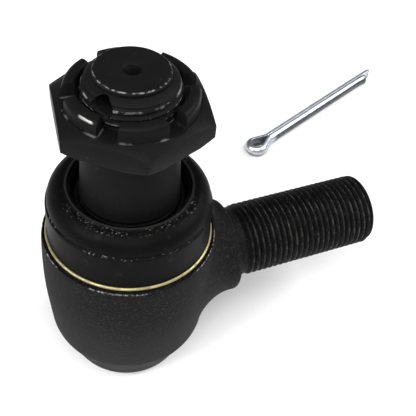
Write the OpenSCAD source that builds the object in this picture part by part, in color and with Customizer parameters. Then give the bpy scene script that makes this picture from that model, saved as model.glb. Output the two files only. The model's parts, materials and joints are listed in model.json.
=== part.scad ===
// Tie rod end: a forged socket with a threaded shank, holding a ball stud between spring-loaded
// seats, closed above by a rubber boot and below by a spun-in cover, with a castle nut and its
// split pin. Millimetres. +Z runs up the stud, +X out along the shank, and the base is at z = 0.

/* [Ball and seats] */
// Diameter of the stud's ball
ball_d = 28; // [24:0.5:34]
// Running gap between the ball and its seats
ball_gap = 0.05; // [0.02:0.01:0.1]
// Wall of the ball seats
seat_wall = 2.2; // [1.6:0.1:3.2]
// Swing of the stud to each side, in degrees
swing = 15; // [8:1:18]
// Thickness of the pressure plate under the lower seat
plate_t = 1.2; // [0.8:0.1:2]
// Height of the preload spring as fitted
spring_h = 7; // [6:0.1:10]
// Wire of the preload spring
spring_wire = 2; // [1.2:0.1:2.2]

/* [Housing] */
// Wall of the housing round the seats
housing_wall = 3.55; // [2.8:0.05:5]
// Height of the top shoulder above the ball's centre
shoulder_h = 14.5; // [12:0.1:18]
// Height of the boot spigot above the shoulder
spigot_h = 4.2; // [3.5:0.1:6]
// Wall of the boot spigot at its mouth
spigot_wall = 2.2; // [1.6:0.1:3]
// Height of the spun-in skirt that holds the cover
skirt_h = 9.6; // [8:0.1:12]
// Wall of the spun-in skirt
skirt_wall = 1.9; // [1.4:0.1:2.6]

/* [Shank] */
// Outer diameter of the shank's thread
shank_d = 18; // [14:0.5:22]
// Pitch of the shank's thread
shank_pitch = 1.5; // [1:0.25:2.5]
// From the stud's axis to the free end of the shank
shank_reach = 64.2; // [54:0.1:84]
// From the belly of the housing to the end of the forged collar
collar_len = 5.2; // [4:0.1:9]
// Diameter of the forged collar
collar_d = 23; // [20:0.5:26]
// Fillet between the collar and the belly
collar_fillet = 5; // [3:0.5:7]
// Length of the plain relief between collar and thread
relief_len = 3.2; // [2:0.1:6]

/* [Stud] */
// From the ball's centre to the free end of the stud
stud_reach = 58.2; // [52:0.1:75]
// Outer diameter of the stud's thread
stud_d = 19.8; // [17:0.1:25]
// Pitch of the stud's thread
stud_pitch = 1.5; // [1:0.25:2]
// Diameter of the neck above the ball
neck_d = 17; // [14:0.5:18]
// Length of the seat taper over which its diameter grows by 1 mm
taper_rate = 10; // [8:1:16]
// Diameter of the pilot at the free end
pilot_d = 14.8; // [12:0.1:16]
// Height of the free end above the nut
end_proud = 3.6; // [3:0.1:8]
// From the free end down to the cross hole
cross_hole_drop = 3.2; // [2.8:0.1:6]
// Direction that the cross hole points in, in degrees
cross_hole_turn = 215; // [0:5:355]

/* [Castle nut] */
// Width of the hexagon across its flats
nut_flats = 30; // [27:0.5:36]
// Height of the hexagon
nut_hex_h = 5.4; // [4:0.1:12]
// Height of the castle above the hexagon
castle_h = 3.2; // [3:0.1:7]
// Diameter of the castle
castle_d = 27; // [26:0.5:32]
// Width of the six slots
slot_w = 4.2; // [3.5:0.1:6]
// Direction that one slot points in, in degrees
nut_turn = 231; // [0:1:359]

/* [Boot] */
// Height of the boot above the shoulder
boot_h = 14.3; // [13:0.1:18]
// Wall of the boot
boot_wall = 1.6; // [1.2:0.1:2]
// Height of the plain band above the shoulder
boot_band_h = 9.6; // [8:0.1:11]
// Diameter of the rim at the crest
rim_d = 27.6; // [26:0.1:30]
// Wire of the retaining ring at the boot's foot
clip_wire = 0.8; // [0.8:0.1:1.2]
// Wire of the ring round the boot's lip
lip_wire = 1; // [0.8:0.1:1.2]

/* [Split pin] */
// Diameter of the pin's two legs together
pin_d = 3.8; // [3:0.1:4]
// Length of the legs below the eye
pin_len = 56; // [36:1:71]
// How much longer one leg is than the other
pin_extra = 4; // [2:0.5:6]
// Width of the eye
eye_w = 7.6; // [7:0.1:9]
// Where the middle of the loose pin lies, along X
pin_x = 91.8; // [80:0.1:120]
// Where the middle of the loose pin lies, along Y
pin_y = 66.3; // [50:0.1:90]
// Direction that the loose pin points in, in degrees
pin_turn = 22.6; // [0:0.1:90]

/* [Hidden] */
$fn = 96;
eps = 0.01;

// Named clearances
slip = 0.1;          // rubber and rings next to their neighbours
mouth_gap = 0.55;    // stud and housing mouth at full swing
skirt_gap = 0.2;     // travel left under the lower seat
hole_gap = 0.2;      // split pin in its hole, on the diameter

// Socket
ball_r = ball_d / 2;
seat_r = ball_r + ball_gap;
bore_r = seat_r + seat_wall;
body_r = bore_r + housing_wall;
neck_r = neck_d / 2;
cover_t = 1.8;
ball_z = cover_t + spring_h + plate_t + seat_wall + ball_gap + ball_r;
shoulder_z = ball_z + shoulder_h;
spigot_top = shoulder_z + spigot_h;

// Cone that the mouth needs so that the neck clears it at full swing
mouth_c = neck_r / cos(swing) + mouth_gap;
function mouth_r(h) = h * tan(swing) + mouth_c;
function mouth_angle(r) = acos(mouth_c * cos(swing) / r) - swing;
spigot_r = mouth_r(spigot_top - ball_z) + spigot_wall;

// Spun-in skirt, cover and seal, upwards from the base
cover_proud = 2.2;
seal_t = 1.2;
step_in = 0.5;
skirt_z = cover_proud + skirt_h;
belly_low_r = body_r - 1.4;
rim_z = skirt_z - 0.3;
seal_z = rim_z + seal_t;
cover_bore_r = bore_r + step_in;
skirt_end_r = cover_bore_r - 4.75;
cover_wall = 1.9;
plate_r = skirt_end_r + 0.6;

// Shank
shank_r = shank_d / 2;
collar_r = collar_d / 2;
collar_x = body_r + collar_len;
relief_r = shank_r - 0.35;
thread_x = collar_x + relief_len;
shank_chamfer = 1.4;

// Nut and stud, upwards from the ball's centre
stud_r = stud_d / 2;
nut_h = nut_hex_h + castle_h;
nut_top = ball_z + stud_reach - end_proud;
nut_z = nut_top - nut_h;
nut_bore_r = stud_r + 0.05;
stud_top = ball_z + stud_reach;
rim_top = shoulder_z + boot_h;
lip_top = rim_top - 2.2;
lip_z = lip_top - 3;
taper_z = lip_top + 0.6;
taper_r = stud_r + 0.05 + (nut_z - taper_z) / taper_rate / 2;
lip_seat_r = taper_r - 0.7;
neck_top = lip_z - 1.4;
pin_hole_r = (pin_d + hole_gap) / 2;
cross_hole_z = stud_top - cross_hole_drop;

// Boot and its rings
boot_in_r = spigot_r + slip;
band_r = boot_in_r + boot_wall;
clip_z = shoulder_z + 0.2 + clip_wire / 2;
clip_r = band_r + slip - clip_wire / 2 + 0.4;
lip_in_r = lip_seat_r + slip;
lip_out_r = lip_in_r + 0.75;
lip_ring_r = lip_out_r + lip_wire / 2 + slip / 2;
rim_r = rim_d / 2;

// Split pin
wire_r = pin_d / 2;
eye_len = eye_w + 0.4;
pin_total = eye_len + pin_len + pin_extra;

// Points of an arc in the plane of a profile, from angle a to angle b
function arc(cx, cy, r, a, b, steps = 12) = [
    for (i = [0:steps]) let (t = a + (b - a) * i / steps) [cx + r * cos(t), cy + r * sin(t)]
];

// Points of the thread's outline from y0 upwards: root, flank, crest, flank for every pitch
function thread_line(r, pitch, y0, y1) = let (
    deep = 0.6 * pitch,
    turns = floor((y1 - y0) / pitch),
    start = y1 - turns * pitch
) [
    for (i = [0:turns - 1], q = [
        [r - deep, 0.06], [r, 0.42], [r, 0.58], [r - deep, 0.94]
    ]) [q[0], start + (i + q[1]) * pitch]
];

module revolve(points) {
    rotate_extrude()
        polygon(points);
}

// A plain round wire ring
module wire_ring(r, z, wire) {
    translate([0, 0, z])
        rotate_extrude()
            translate([r, 0])
                circle(d = wire, $fn = 32);
}

// Shape along +X from a profile of [radius, distance] points
module along_x() {
    translate([0, 0, ball_z])
        rotate([0, 90, 0])
            children();
}

// Belly of the housing: barrel, spun skirt and spigot, with its clearance for the stud
module belly_outline() {
    barrel_mid = ball_z + 4;
    barrel_drop = body_r - belly_low_r;
    barrel = [
        for (i = [0:10]) let (z = skirt_z + 1.2 + (barrel_mid - skirt_z - 1.2) * i / 10)
            [body_r - barrel_drop * pow((barrel_mid - z) / (barrel_mid - skirt_z), 2), z]
    ];
    skirt_out = skirt_end_r + skirt_wall;
    revolve(concat(
        [[0, cover_proud + 0.7], [skirt_out - 1.1, cover_proud], [skirt_out - 0.5, cover_proud]],
        [[skirt_out, cover_proud + 0.5], [belly_low_r - 0.5, skirt_z - 0.5]],
        barrel,
        [[body_r - 0.15, shoulder_z - 1.2], [body_r - 0.8, shoulder_z]],
        [[spigot_r, shoulder_z], [spigot_r, spigot_top - 0.4]],
        [[spigot_r - 0.4, spigot_top], [0, spigot_top]]
    ));
}

// Space inside the housing: cover seat, bore, dome round the upper seat, and the mouth
module socket_space() {
    top = mouth_angle(bore_r);
    revolve(concat(
        [[0, cover_proud - eps], [skirt_end_r, cover_proud - eps]],
        [[skirt_end_r, cover_proud], [cover_bore_r, rim_z]],
        [[cover_bore_r, seal_z], [bore_r, seal_z]],
        arc(0, ball_z, bore_r, 0, top),
        [[mouth_r(spigot_top + eps - ball_z), spigot_top + eps], [0, spigot_top + eps]]
    ));
}

// Fillet between the upright belly and the collar, in steps along a quarter arc
module collar_blend() {
    steps = 6;
    for (i = [1:steps]) {
        t = 90 * i / (steps + 1);
        out = collar_fillet * (1 - cos(t));
        up = collar_fillet * (1 - sin(t));
        intersection() {
            translate([0, 0, skirt_z])
                cylinder(r = body_r + out, h = shoulder_z - 0.4 - skirt_z);
            along_x()
                cylinder(r = collar_r + up, h = body_r + out);
        }
    }
}

module shank() {
    root_r = shank_r - 0.6 * shank_pitch;
    along_x()
        revolve(concat(
            [[0, 0], [collar_r, 0], [collar_r, collar_x - 0.8], [collar_r - 0.8, collar_x]],
            [[relief_r + 0.3, collar_x], [relief_r, collar_x + 0.3], [relief_r, thread_x - 0.2]],
            [[root_r, thread_x]],
            thread_line(shank_r, shank_pitch, thread_x, shank_reach - shank_chamfer),
            [[shank_r - 0.5, shank_reach - shank_chamfer + 0.1]],
            arc(shank_r - 2, shank_reach - 1, 1, 20, 90, 4),
            [[0, shank_reach]]
        ));
}

module housing() {
    color([0.16, 0.16, 0.17])
        difference() {
            union() {
                belly_outline();
                shank();
                collar_blend();
            }
            socket_space();
        }
}

module end_cover() {
    slope = (cover_bore_r - skirt_end_r) / (rim_z - cover_proud);
    inner_low = skirt_end_r + slope * (cover_t - cover_proud) - cover_wall;
    inner_high = cover_bore_r - cover_wall;
    color([0.2, 0.2, 0.21])
        revolve([
            [0, 0], [skirt_end_r - 0.6, 0], [skirt_end_r, 0.6], [skirt_end_r, cover_proud],
            [cover_bore_r, rim_z], [inner_high, rim_z], [inner_low, cover_t], [0, cover_t]
        ]);
}

module cover_seal() {
    color([0.06, 0.06, 0.06])
        difference() {
            translate([0, 0, rim_z])
                cylinder(r = cover_bore_r, h = seal_t);
            translate([0, 0, rim_z - eps])
                cylinder(r = cover_bore_r - 1.8, h = seal_t + 2 * eps);
        }
}

// Conical coil: rings of points swept along a helix that narrows upwards
module preload_spring() {
    turns = 2.5;
    sides = 10;
    rings = 48;
    low_r = skirt_end_r - cover_wall - spring_wire - 0.6;
    high_r = low_r - 2.6;
    half = spring_wire / 2;
    z0 = cover_t + half + 0.02;
    z1 = cover_t + spring_h - half - 0.02;
    points = [
        for (i = [0:rings], k = [0:sides - 1]) let (
            s = i / rings,
            turn = 360 * turns * s,
            r = low_r + (high_r - low_r) * s,
            a = 360 * k / sides
        ) [
            (r + half * cos(a)) * cos(turn),
            (r + half * cos(a)) * sin(turn),
            z0 + (z1 - z0) * s + half * sin(a)
        ]
    ];
    walls = [
        for (i = [0:rings - 1], k = [0:sides - 1]) let (n = (k + 1) % sides)
            [i * sides + k, i * sides + n, (i + 1) * sides + n, (i + 1) * sides + k]
    ];
    ends = [
        [for (k = [sides - 1:-1:0]) k],
        [for (k = [0:sides - 1]) rings * sides + k]
    ];
    color([0.45, 0.46, 0.48])
        polyhedron(points, concat(walls, ends));
}

module pressure_plate() {
    color([0.5, 0.5, 0.52])
        translate([0, 0, cover_t + spring_h])
            cylinder(r = plate_r, h = plate_t);
}

// Cup under the ball, free to turn in the bore
module lower_seat() {
    low_z = cover_t + spring_h + plate_t;
    skirt_low = max(seal_z + skirt_gap, low_z + 1);
    high_z = ball_z - 1.5;
    foot_r = cover_bore_r - 3;
    color([0.85, 0.83, 0.76])
        difference() {
            revolve([
                [0, low_z], [foot_r - 1, low_z], [foot_r, skirt_low],
                [bore_r - ball_gap, skirt_low], [bore_r - ball_gap, high_z], [0, high_z]
            ]);
            translate([0, 0, ball_z])
                sphere(r = seat_r);
        }
}

// Half shell above the ball, seated in the housing's dome
module upper_seat() {
    inner = mouth_angle(seat_r);
    outer = mouth_angle(bore_r);
    color([0.85, 0.83, 0.76])
        difference() {
            revolve(concat(
                [[seat_r - 1, ball_z]],
                arc(0, ball_z, bore_r, 0, outer),
                [[seat_r * cos(inner), ball_z + seat_r * sin(inner)]],
                [[seat_r * cos(inner) - 1, ball_z + seat_r * sin(inner) - 1]]
            ));
            translate([0, 0, ball_z])
                sphere(r = seat_r);
        }
}

module ball_stud() {
    root_r = stud_r - 0.6 * stud_pitch;
    pilot_r = pilot_d / 2;
    lead_z = stud_top - 2.2;
    run_out = nut_z - 1.2;
    dimple_r = 1.9;
    color([0.2, 0.2, 0.21])
        difference() {
            union() {
                intersection() {
                    translate([0, 0, ball_z])
                        sphere(r = ball_r);
                    translate([-ball_r, -ball_r, ball_z - ball_r + 0.5])
                        cube(2 * ball_r);
                }
                revolve(concat(
                    [[0, ball_z], [neck_r, ball_z], [neck_r, neck_top]],
                    [[lip_seat_r, lip_z], [lip_seat_r, taper_z - 0.5], [taper_r, taper_z]],
                    [[stud_r + 0.05 + (nut_z - run_out) / taper_rate / 2, run_out]],
                    [[root_r, run_out + 0.6]],
                    thread_line(stud_r, stud_pitch, run_out + 0.7, lead_z),
                    [[stud_r - 0.35, lead_z + 0.1], [pilot_r + 0.35, stud_top - 1.15]],
                    [[pilot_r + 0.1, stud_top - 1.05], [pilot_r + 0.35, stud_top - 0.8]],
                    [[pilot_r + 0.35, stud_top - 0.4], [pilot_r, stud_top], [0, stud_top]]
                ));
            }
            translate([0, 0, stud_top - 0.7])
                cylinder(r1 = 0.2, r2 = dimple_r, h = 0.7 + eps);
            translate([0, 0, cross_hole_z])
                rotate([0, 90, cross_hole_turn])
                    cylinder(r = pin_hole_r, h = 4 * stud_r, center = true);
        }
}

module castle_nut() {
    corner_r = nut_flats / cos(30) / 2;
    trim_r = corner_r - 0.7;
    castle_r = castle_d / 2;
    round_r = 1.2;
    shoulder = nut_hex_h - (trim_r - castle_r) * tan(30);
    slot_deep = castle_h + 0.2;
    color([0.18, 0.18, 0.19])
        translate([0, 0, nut_z])
            rotate([0, 0, nut_turn])
                difference() {
                    union() {
                        intersection() {
                            rotate([0, 0, 30])
                                cylinder(r = corner_r, h = nut_hex_h, $fn = 6);
                            revolve([
                                [0, 0], [trim_r - 0.8, 0], [trim_r, 0.45], [trim_r, shoulder],
                                [castle_r, nut_hex_h], [0, nut_hex_h]
                            ]);
                        }
                        revolve(concat(
                            [[0, nut_hex_h - 1], [castle_r, nut_hex_h - 1]],
                            arc(castle_r - round_r, nut_h - round_r, round_r, 0, 90, 6),
                            [[0, nut_h]]
                        ));
                    }
                    translate([0, 0, -eps])
                        cylinder(r = nut_bore_r, h = nut_h + 2 * eps);
                    translate([0, 0, nut_h - 0.5])
                        cylinder(r1 = nut_bore_r, r2 = nut_bore_r + 0.5 + eps, h = 0.5 + eps);
                    translate([0, 0, -eps])
                        cylinder(r1 = nut_bore_r + 0.8, r2 = nut_bore_r, h = 0.8);
                    for (i = [0:2])
                        rotate([0, 0, 60 * i])
                            translate([-castle_d, -slot_w / 2, nut_h - slot_deep])
                                cube([2 * castle_d, slot_w, slot_deep + eps]);
                }
}

// Rubber boot: foot in the ring's groove, band, rounded shoulder, rim, funnel and lip
module dust_boot() {
    step = 0.35;
    band_top = shoulder_z + boot_band_h;
    foot_z = shoulder_z + slip;
    crest = 0.7;
    bow_r = rim_top - band_top - 0.4;
    bow_w = band_r - step - rim_r;
    funnel_r = lip_ring_r + lip_wire / 2 + slip;
    inner_top = rim_top - boot_wall;
    bow = [
        for (i = [1:8]) let (t = 90 * i / 8)
            [rim_r + bow_w * cos(t), band_top + 0.4 + bow_r * sin(t)]
    ];
    bow_inside = [
        for (i = [8:-1:0]) let (t = 90 * i / 8) [
            rim_r + crest + (boot_in_r - step - rim_r - crest) * cos(t),
            band_top + (inner_top - band_top) * sin(t)
        ]
    ];
    color([0.09, 0.09, 0.1])
        difference() {
            revolve(concat(
                [[boot_in_r, foot_z], [band_r, foot_z], [band_r, band_top]],
                [[band_r - step, band_top + 0.4]],
                bow,
                [[rim_r - crest, rim_top - 0.4], [funnel_r + 0.2, rim_top - 1.6]],
                [[funnel_r, lip_z + 0.8], [lip_out_r, lip_z + 0.8], [lip_out_r, lip_top]],
                [[lip_in_r, lip_top], [lip_in_r, lip_z], [funnel_r, lip_z - 0.5]],
                [[funnel_r + 0.9, lip_z]],
                bow_inside,
                [[boot_in_r, spigot_top + slip]]
            ));
            wire_ring(clip_r, clip_z, clip_wire + slip);
            translate([0, 0, shoulder_z])
                difference() {
                    cylinder(r = band_r + 1, h = clip_z - shoulder_z);
                    translate([0, 0, -eps])
                        cylinder(r = clip_r - clip_wire / 2 - slip / 2, h = clip_z);
                }
        }
}

module boot_clip_ring() {
    color([0.8, 0.74, 0.5])
        wire_ring(clip_r, clip_z, clip_wire);
}

module boot_lip_ring() {
    color([0.25, 0.25, 0.26])
        wire_ring(lip_ring_r, lip_top - 1.3, lip_wire);
}

// One leg of the split pin: a half-round wire along +X with its flat on y = 0
module pin_leg(from, to) {
    translate([from, 0, 0])
        rotate([90, 0, 90])
            linear_extrude(height = to - from)
                intersection() {
                    circle(r = wire_r);
                    translate([0, -wire_r])
                        square([wire_r, 2 * wire_r]);
                }
}

// Half-round wire bent round the eye, its flat side inwards
module pin_eye() {
    ring_r = eye_w / 2 - wire_r;
    rotate_extrude()
        translate([ring_r, 0])
            intersection() {
                circle(r = wire_r);
                translate([0, -wire_r])
                    square([wire_r, 2 * wire_r]);
            }
}

module split_pin() {
    leg_from = eye_w / 2 - 0.6;
    leg_to = leg_from + pin_len;
    mid = (pin_total - eye_w) / 2;
    color([0.75, 0.76, 0.78])
        translate([pin_x, pin_y, wire_r])
            rotate([0, 0, pin_turn])
                translate([-mid, 0, 0]) {
                    pin_eye();
                    pin_leg(leg_from, leg_to + pin_extra);
                    mirror([0, 1, 0])
                        pin_leg(leg_from, leg_to);
                }
}

housing();
end_cover();
cover_seal();
preload_spring();
pressure_plate();
lower_seat();
upper_seat();
ball_stud();
castle_nut();
dust_boot();
boot_clip_ring();
boot_lip_ring();
split_pin();
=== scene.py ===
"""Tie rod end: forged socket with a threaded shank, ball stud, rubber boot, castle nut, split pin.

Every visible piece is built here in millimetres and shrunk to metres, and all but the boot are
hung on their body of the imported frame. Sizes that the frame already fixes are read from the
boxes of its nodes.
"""

import json
import logging
import math
from dataclasses import dataclass
from enum import Enum
from typing import Callable, Sequence, Union

import bmesh
import bpy
from mathutils import Matrix, Vector


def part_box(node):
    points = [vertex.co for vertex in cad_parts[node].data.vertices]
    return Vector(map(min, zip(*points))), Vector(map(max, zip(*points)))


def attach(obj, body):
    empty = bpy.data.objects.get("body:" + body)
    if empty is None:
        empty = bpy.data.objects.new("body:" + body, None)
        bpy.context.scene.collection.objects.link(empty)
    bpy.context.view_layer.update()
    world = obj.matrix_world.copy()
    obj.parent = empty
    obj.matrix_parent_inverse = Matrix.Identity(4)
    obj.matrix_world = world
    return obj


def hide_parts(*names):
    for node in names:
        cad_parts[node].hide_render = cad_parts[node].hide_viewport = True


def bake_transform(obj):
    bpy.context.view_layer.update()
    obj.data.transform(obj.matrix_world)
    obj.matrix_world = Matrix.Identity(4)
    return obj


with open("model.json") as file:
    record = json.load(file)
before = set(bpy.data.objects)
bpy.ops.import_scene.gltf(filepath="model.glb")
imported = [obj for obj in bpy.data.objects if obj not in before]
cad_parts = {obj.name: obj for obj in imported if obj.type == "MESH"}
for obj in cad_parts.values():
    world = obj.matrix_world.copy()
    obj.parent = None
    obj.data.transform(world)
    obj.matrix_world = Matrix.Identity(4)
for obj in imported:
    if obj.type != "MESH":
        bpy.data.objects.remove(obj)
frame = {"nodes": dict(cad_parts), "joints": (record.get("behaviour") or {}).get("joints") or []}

LOG = logging.getLogger("tie_rod_end")
MM = 0.001
ORIGIN = (0.0, 0.0, 0.0)
Z_AXIS = (0.0, 0.0, 1.0)
ON_PLANE = 1e-5  # how near a point counts as lying on a cutting plane
SLIVER = 0.004  # how close points are merged after a combination
LEAD_FALL = 0.4  # how fast the stud's thread narrows towards its free end
Outline = Sequence[Sequence[float]]
Limit = Callable[[float], float]


class Join(Enum):
    """How one closed shape is combined with another."""

    ADD = "UNION"
    CUT = "DIFFERENCE"
    KEEP = "INTERSECT"


# Measures taken from the frame


@dataclass(frozen=True)
class Datum:
    """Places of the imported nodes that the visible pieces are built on, in millimetres."""

    ball_z: float
    belly_r: float
    foot_z: float
    spigot_top: float
    shank_reach: float
    stud_top: float
    stud_base: float
    nut_z: float
    nut_top: float
    boot_foot: float
    boot_top: float
    band_r: float
    clip_r: float
    clip_z: float
    lip_ring_r: float
    lip_ring_z: float
    clip_wire: float
    lip_wire: float
    cover_rim: float
    pin_low: Vector

    @staticmethod
    def measure() -> "Datum":
        """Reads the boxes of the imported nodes.

        Returns:
            The places, in millimetres.
        """
        nodes = ("housing", "ball_stud", "castle_nut", "dust_boot", "boot_clip_ring", "boot_lip_ring")
        boxes = [[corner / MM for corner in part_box(node)] for node in nodes]
        (housing_low, housing_high), (stud_low, stud_high), (nut_low, nut_high) = boxes[:3]
        (boot_low, boot_high), (clip_low, clip_high), (lip_low, lip_high) = boxes[3:]
        clip_wire = clip_high.z - clip_low.z
        lip_wire = lip_high.z - lip_low.z
        return Datum(
            ball_z=frame["joints"][0]["pos_m"][2] / MM,
            belly_r=-housing_low.y,
            foot_z=housing_low.z,
            spigot_top=housing_high.z,
            shank_reach=housing_high.x,
            stud_top=stud_high.z,
            stud_base=stud_low.z,
            nut_z=nut_low.z,
            nut_top=nut_high.z,
            boot_foot=boot_low.z,
            boot_top=boot_high.z,
            band_r=boot_high.x,
            clip_r=clip_high.x - clip_wire / 2,
            clip_z=(clip_low.z + clip_high.z) / 2,
            lip_ring_r=lip_high.x - lip_wire / 2,
            lip_ring_z=(lip_low.z + lip_high.z) / 2,
            clip_wire=clip_wire,
            lip_wire=lip_wire,
            cover_rim=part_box("end_cover")[1].z / MM,
            pin_low=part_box("split_pin")[0] / MM,
        )


# Shader graphs


class Value:
    """A number or colour that runs along a shader link, with arithmetic on numbers."""

    def __init__(self, graph: "Graph", socket: bpy.types.NodeSocket) -> None:
        """Wraps an output socket of a graph."""
        self.graph = graph
        self.socket = socket

    def _math(self, operation: str, left: "Number", right: "Number") -> "Value":
        """Adds a Math node.

        Args:
            operation: The node's operation.
            left: First number or link.
            right: Second number or link.

        Returns:
            The node's result.
        """
        return self.graph.node(
            "ShaderNodeMath", {"operation": operation}, {0: left, 1: right}
        )

    def __add__(self, other: "Number") -> "Value":
        """Sum."""
        return self._math("ADD", self, other)

    def __radd__(self, other: float) -> "Value":
        """Sum with the number first."""
        return self._math("ADD", other, self)

    def __sub__(self, other: "Number") -> "Value":
        """Difference."""
        return self._math("SUBTRACT", self, other)

    def __rsub__(self, other: float) -> "Value":
        """Difference with the number first."""
        return self._math("SUBTRACT", other, self)

    def __mul__(self, other: "Number") -> "Value":
        """Product."""
        return self._math("MULTIPLY", self, other)

    def __rmul__(self, other: float) -> "Value":
        """Product with the number first."""
        return self._math("MULTIPLY", other, self)

    def __truediv__(self, other: "Number") -> "Value":
        """Quotient."""
        return self._math("DIVIDE", self, other)

    def __pow__(self, other: "Number") -> "Value":
        """Power."""
        return self._math("POWER", self, other)


Number = Union[Value, float]
Colour = tuple[float, float, float, float]


def grey(level: float, warm: float = 0.0) -> Colour:
    """A grey of that level, warmer where warm is above zero and cooler below."""
    return (level * (1 + warm), level, level * (1 - warm), 1.0)


class Graph:
    """The node tree of one finish. Places are in millimetres of the row frame."""

    def __init__(self, name: str, place: str = "") -> None:
        """Starts a material.

        Args:
            name: The material's name.
            place: A mesh attribute to read places from, in place of object coordinates.
        """
        self.material = bpy.data.materials.new(name)
        self.material.use_nodes = True
        self.tree = self.material.node_tree
        self.tree.nodes.clear()
        if place:
            source = self.node("ShaderNodeAttribute", {"attribute_name": place}, {}, "Vector")
        else:
            source = self.node("ShaderNodeTexCoord", {}, {}, "Object")
        self.place = self.node(
            "ShaderNodeMapping", {}, {"Vector": source, "Scale": (1 / MM, 1 / MM, 1 / MM)}
        )
        self.x = self.node("ShaderNodeSeparateXYZ", {}, {0: self.place}, "X")
        self.y = Value(self, self.x.socket.node.outputs["Y"])
        self.z = Value(self, self.x.socket.node.outputs["Z"])

    def node(
        self,
        kind: str,
        settings: dict[str, object],
        inputs: dict[Union[str, int], object],
        output: Union[str, int] = 0,
    ) -> Value:
        """Adds one node.

        Args:
            kind: The node's type.
            settings: Its properties, set first; "stops" is a list of a ramp's places and colours.
            inputs: A value or a link for each of its sockets.
            output: The output that is returned.

        Returns:
            That output.
        """
        made = self.tree.nodes.new(kind)
        for key, setting in settings.items():
            if key == "stops":
                elements = made.color_ramp.elements
                while len(elements) < len(setting):
                    elements.new(0.5)
                for element, (place, colour) in zip(elements, setting):
                    element.position, element.color = place, colour
            else:
                setattr(made, key, setting)
        for key, value in inputs.items():
            if isinstance(value, Value):
                self.tree.links.new(value.socket, made.inputs[key])
            else:
                made.inputs[key].default_value = value
        return Value(self, made.outputs[output])

    def noise(self, scale: float, detail: float = 2.0, rough: float = 0.5) -> Value:
        """Cloudy noise.

        Args:
            scale: Features per millimetre.
            detail: Octaves.
            rough: Share of the finer octaves.

        Returns:
            A number round 0.5.
        """
        return self.node(
            "ShaderNodeTexNoise",
            {},
            {"Vector": self.place, "Scale": scale, "Detail": detail, "Roughness": rough},
            "Fac",
        )

    def stretched(self, scales: Sequence[float], detail: float = 2.0) -> Value:
        """Noise drawn out along an axis.

        Args:
            scales: Features per millimetre along x, y and z.
            detail: Octaves.

        Returns:
            A number round 0.5.
        """
        drawn = self.node("ShaderNodeMapping", {}, {"Vector": self.place, "Scale": scales})
        return self.node(
            "ShaderNodeTexNoise", {}, {"Vector": drawn, "Scale": 1.0, "Detail": detail}, "Fac"
        )

    def pits(self, scale: float) -> Value:
        """Distance to the nearest of scattered points, for pits and grains."""
        sockets = {"Vector": self.place, "Scale": scale}
        return self.node("ShaderNodeTexVoronoi", {}, sockets, "Distance")

    def ramp(self, value: Value, low: float, high: float) -> Value:
        """Smooth step.

        Args:
            value: What is compared.
            low: Where the step starts, at 0.
            high: Where it ends, at 1; below low for a falling step.

        Returns:
            A number from 0 to 1.
        """
        ends = (low, high, 0.0, 1.0) if low < high else (high, low, 1.0, 0.0)
        return self.node(
            "ShaderNodeMapRange",
            {"interpolation_type": "SMOOTHSTEP"},
            {0: value, 1: ends[0], 2: ends[1], 3: ends[2], 4: ends[3]},
        )

    def between(self, value: Value, low: float, high: float, soft: float) -> Value:
        """1 from low to high, fading to 0 over soft on both sides."""
        return self.ramp(value, low - soft, low) * self.ramp(value, high + soft, high)

    def radius(self, across: Value, along: Value) -> Value:
        """Distance from an axis, from the two places across it."""
        return (across * across + along * along) ** 0.5

    def mix(self, share: Number, first: Union[Value, Colour], second: Union[Value, Colour]) -> Value:
        """Mixes two colours.

        Args:
            share: Share of the second colour.
            first: Colour at share 0.
            second: Colour at share 1.

        Returns:
            The colour.
        """
        return self.node(
            "ShaderNodeMix", {"data_type": "RGBA"}, {0: share, 6: first, 7: second}, 2
        )

    def bump(self, height: Value, strength: float, depth: float) -> Value:
        """A normal from a height.

        Args:
            height: Height from 0 to 1.
            strength: Share of the effect.
            depth: What a height of 1 stands for, in millimetres.

        Returns:
            The normal.
        """
        return self.node(
            "ShaderNodeBump", {}, {"Height": height, "Strength": strength, "Distance": depth * MM}
        )

    def close(self, shader: dict[str, object]) -> bpy.types.Material:
        """Ends the graph.

        Args:
            shader: Values and links of the Principled shader's sockets.

        Returns:
            The finished material.
        """
        surface = self.node("ShaderNodeBsdfPrincipled", {}, shader)
        output = self.tree.nodes.new("ShaderNodeOutputMaterial")
        self.tree.links.new(surface.socket, output.inputs["Surface"])
        return self.material


# Finishes


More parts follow.
